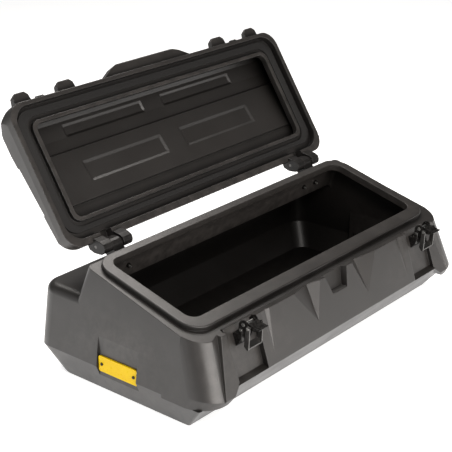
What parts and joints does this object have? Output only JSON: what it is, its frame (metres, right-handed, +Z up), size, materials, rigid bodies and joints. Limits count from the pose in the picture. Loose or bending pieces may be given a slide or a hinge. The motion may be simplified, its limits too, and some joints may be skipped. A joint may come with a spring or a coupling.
{
  "type": "atv cargo box",
  "caption": "Moulded all-terrain-vehicle cargo box: tapered tub with sloping rim and rear shelf, hinged lid with seal, and draw latches at the front.",
  "frame": {"origin": "centre of the tub's flat underside", "axes": "+X along the long side, towards the right end seen from the latch side; -Y towards the latches; +Z up"},
  "size_m": [1.0002, 0.6619, 0.6209],
  "materials": {
    "shell": "dark grey moulded polyethylene with a fine satin grain",
    "seal": "black foam rubber",
    "hinge_plastic": "black moulded plastic, satin",
    "latch_plastic": "black moulded plastic, glossy",
    "dark_steel": "dark zinc-plated pressed steel",
    "steel": "bright zinc-plated steel",
    "reflector": "yellow plastic, bare"
  },
  "bodies": {
    "base": {"tub": "shell", "hinge_bracket_left": "hinge_plastic", "hinge_bracket_right": "hinge_plastic", "hinge_pin_left": "dark_steel", "hinge_pin_right": "dark_steel", "hinge_bracket_bolts": "steel", "hinge_bracket_nuts": "steel", "latch_bracket_left": "latch_plastic", "latch_bracket_right": "latch_plastic", "latch_lever_pin_left": "steel", "latch_lever_pin_right": "steel", "latch_stop_rivet_left": "steel", "latch_stop_rivet_right": "steel", "latch_screws": "dark_steel", "latch_nuts": "steel", "reflector_left": "reflector", "reflector_right": "reflector", "reflector_screws": "steel"},
    "lid": {"lid_shell": "shell", "lid_gasket": "seal", "hinge_arm_left": "hinge_plastic", "hinge_arm_right": "hinge_plastic", "hinge_arm_screws": "steel", "strike_left": "hinge_plastic", "strike_right": "hinge_plastic", "strike_screws": "steel"},
    "lever_left": {"latch_lever_left": "latch_plastic", "latch_hook_pin_left": "steel"},
    "lever_right": {"latch_lever_right": "latch_plastic", "latch_hook_pin_right": "steel"},
    "hook_left": {"latch_hook_left": "dark_steel"},
    "hook_right": {"latch_hook_right": "dark_steel"}
  },
  "joints": [
    {"name": "lid_hinge", "type": "hinge", "parent": "base", "child": "lid", "pos_m": [0, 0.13, 0.301], "axis": [1, 0, 0], "range_deg": [0, 137.9]},
    {"name": "lever_left_hinge", "type": "hinge", "parent": "base", "child": "lever_left", "pos_m": [-0.346, -0.264, 0.219], "axis": [1, 0, 0], "range_deg": [0, 78]},
    {"name": "hook_left_hinge", "type": "hinge", "parent": "lever_left", "child": "hook_left", "pos_m": [-0.346, -0.27965, 0.21567], "axis": [1, 0, 0], "range_deg": [-306, 0]},
    {"name": "lever_right_hinge", "type": "hinge", "parent": "base", "child": "lever_right", "pos_m": [0.346, -0.264, 0.219], "axis": [1, 0, 0], "range_deg": [0, 78]},
    {"name": "hook_right_hinge", "type": "hinge", "parent": "lever_right", "child": "hook_right", "pos_m": [0.346, -0.27965, 0.21567], "axis": [1, 0, 0], "range_deg": [-306, 0]}
  ],
  "couplings": [
    {"joint": "hook_left_hinge", "follows": "lever_left_hinge", "ratio": -3.9231},
    {"joint": "hook_right_hinge", "follows": "lever_right_hinge", "ratio": -3.9231}
  ]
}
